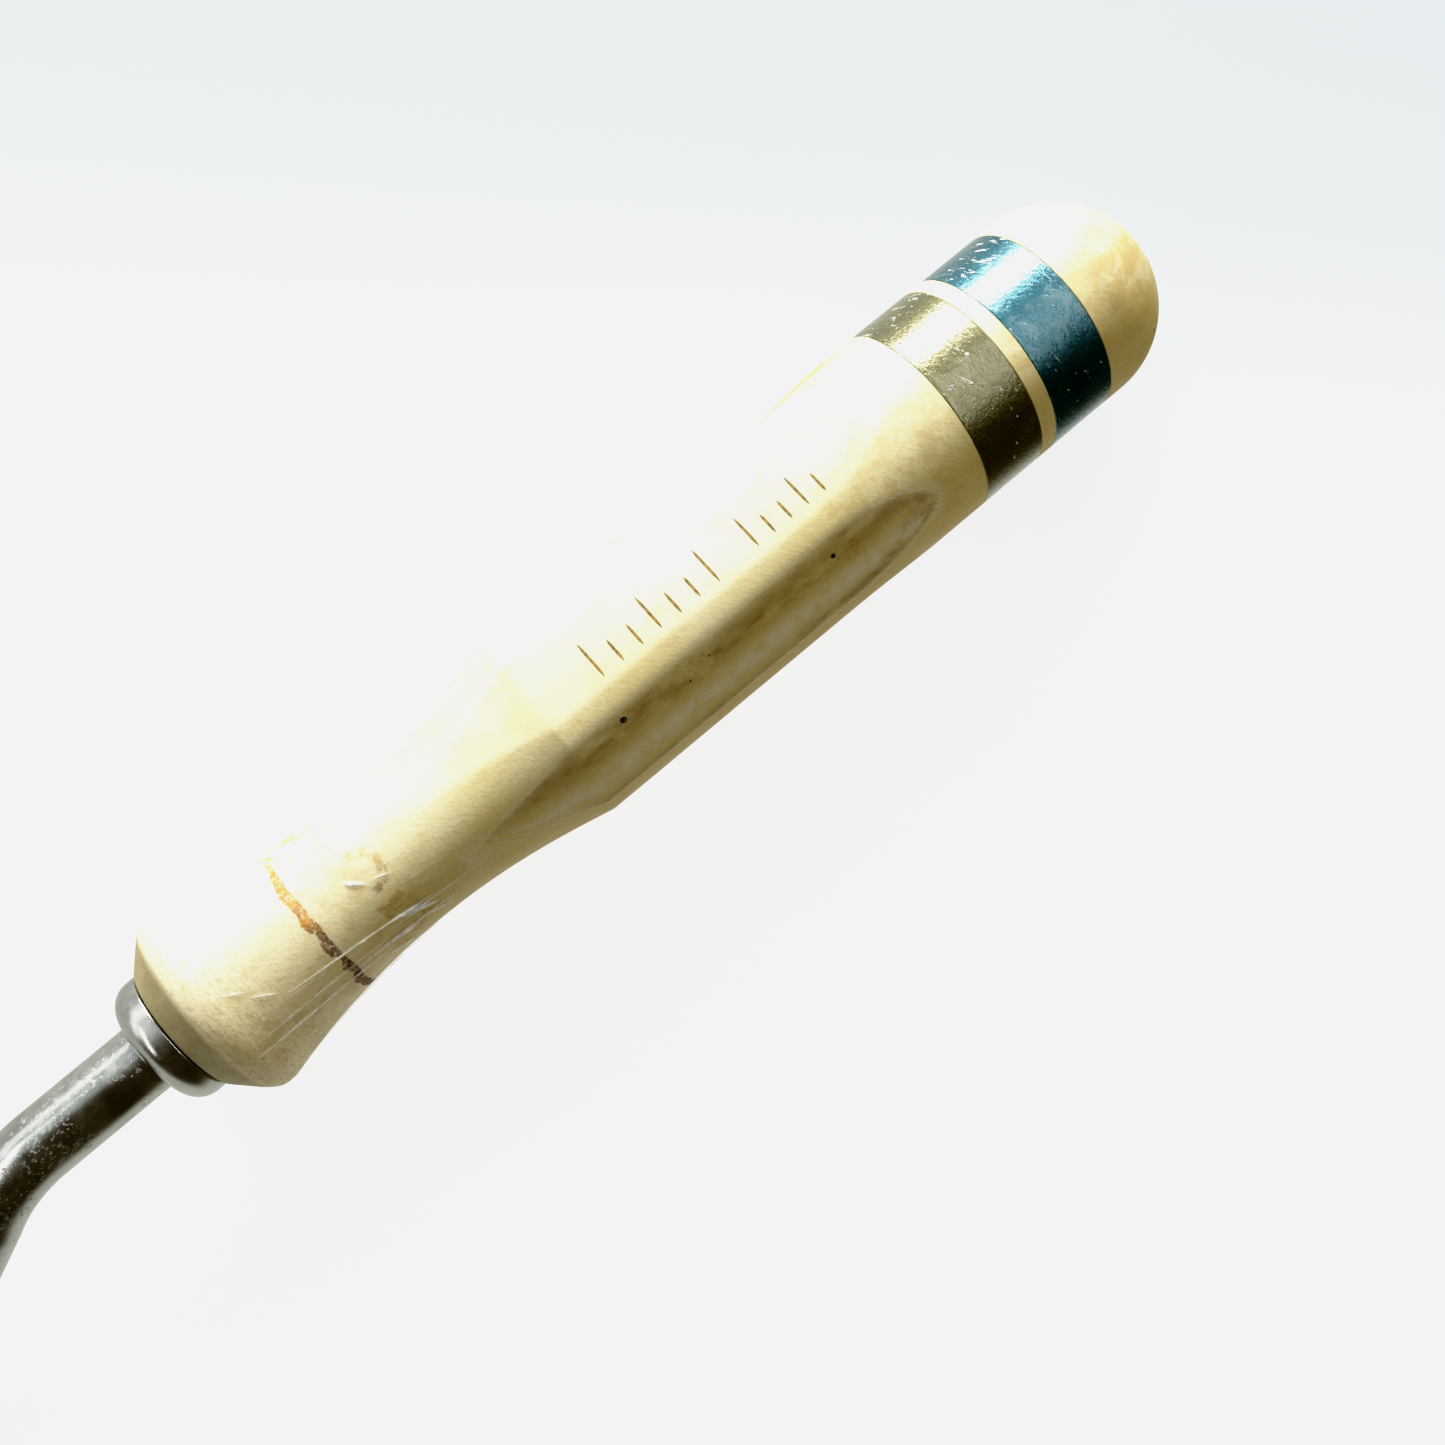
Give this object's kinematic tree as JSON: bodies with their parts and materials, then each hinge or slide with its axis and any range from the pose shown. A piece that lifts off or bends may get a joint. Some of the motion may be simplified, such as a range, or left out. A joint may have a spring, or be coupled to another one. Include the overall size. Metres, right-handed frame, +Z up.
{
  "type": "dental elevator",
  "caption": "Dental root elevator with a faceted, waisted plastic handle, coloured marking bands, a steel collar and an angled steel shank ending in a hollow blade.",
  "frame": {"origin": "on the handle's axis in the front face of the steel collar, where the shank comes out", "axes": "+X along the handle's axis towards the blade, +Z up as the instrument lies on a table, +Y to the side that the shank bends to"},
  "size_m": [0.159, 0.0213, 0.0181],
  "materials": {
    "handle_plastic": "satin, worn, bone-coloured with brown mottling",
    "bronze_lacquer": "glossy bronze olive, scuffed",
    "teal_lacquer": "glossy teal blue, scratched",
    "collar_steel": "turned, slightly tarnished",
    "shank_steel": "polished along the shank, finely pitted",
    "resin": "cured, dark",
    "film": "clear, wrinkled"
  },
  "bodies": {
    "root": {"handle_body": "handle_plastic", "bronze_band": "bronze_lacquer", "teal_band": "teal_lacquer", "ferrule": "collar_steel", "shank_blade": "shank_steel", "tang_resin": "resin", "clear_film": "film"}
  },
  "joints": []
}
